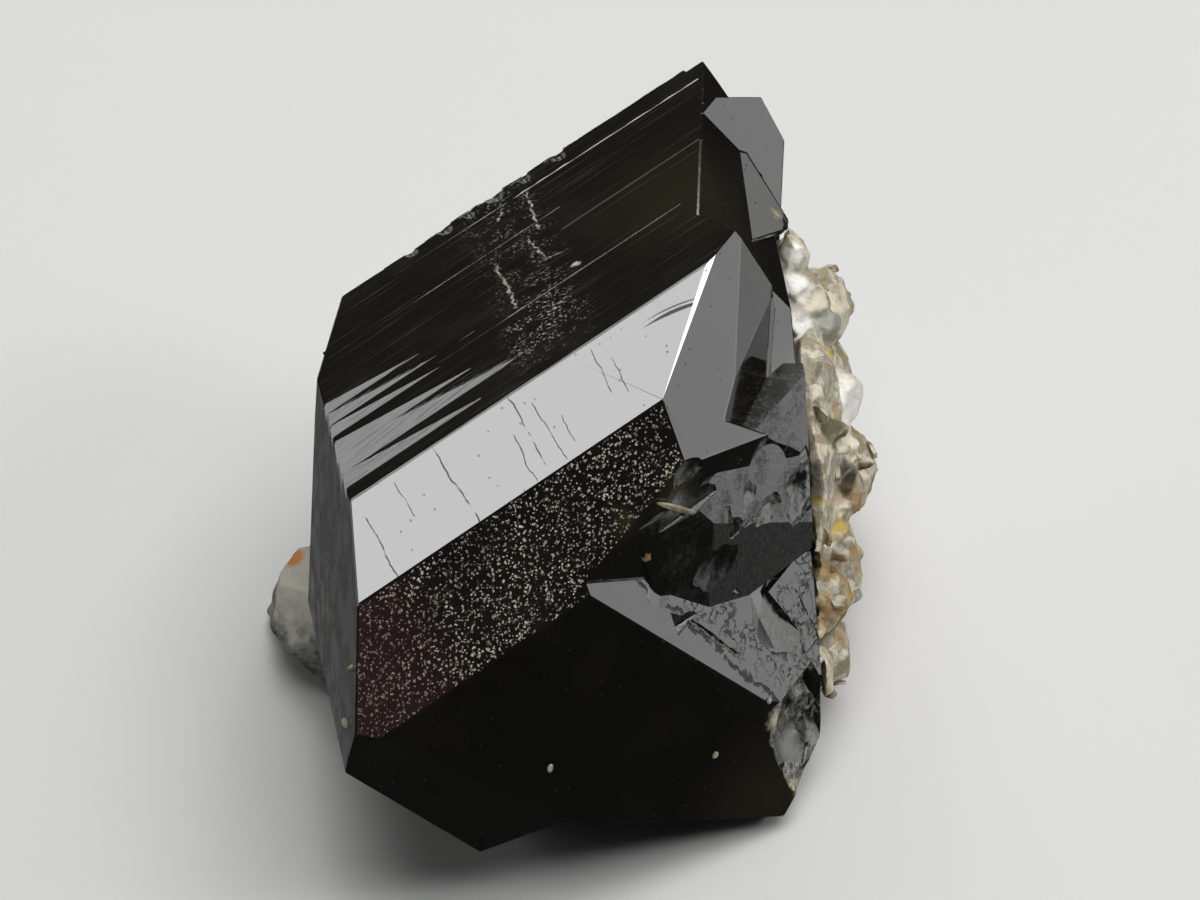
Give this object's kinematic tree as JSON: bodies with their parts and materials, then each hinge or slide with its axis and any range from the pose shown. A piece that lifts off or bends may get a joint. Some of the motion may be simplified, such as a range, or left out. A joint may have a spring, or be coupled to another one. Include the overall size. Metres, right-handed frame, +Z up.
{
  "type": "cassiterite crystal",
  "caption": "Lustrous black cassiterite crystal group with long bevelled faces, a stepped right end and a thin crust of pale quartz and mica, for display or study",
  "frame": {"origin": "Middle of the footprint of all three pieces, in the plane of the flat broken base that the group rests on", "axes": "+Z up out of the resting base; -Y is the front with the frosted and mirror faces; +X points to the right side, which carries the crust; the group is longest along Y"},
  "size_m": [0.0306, 0.0372, 0.0284],
  "materials": {
    "cassiterite": "polished",
    "quartz_mica_rock": "matte",
    "quartz": "satin"
  },
  "bodies": {
    "root": {"cassiterite_crystal": "cassiterite", "quartz_mica_crust": "quartz_mica_rock", "quartz_grain": "quartz"}
  },
  "joints": []
}
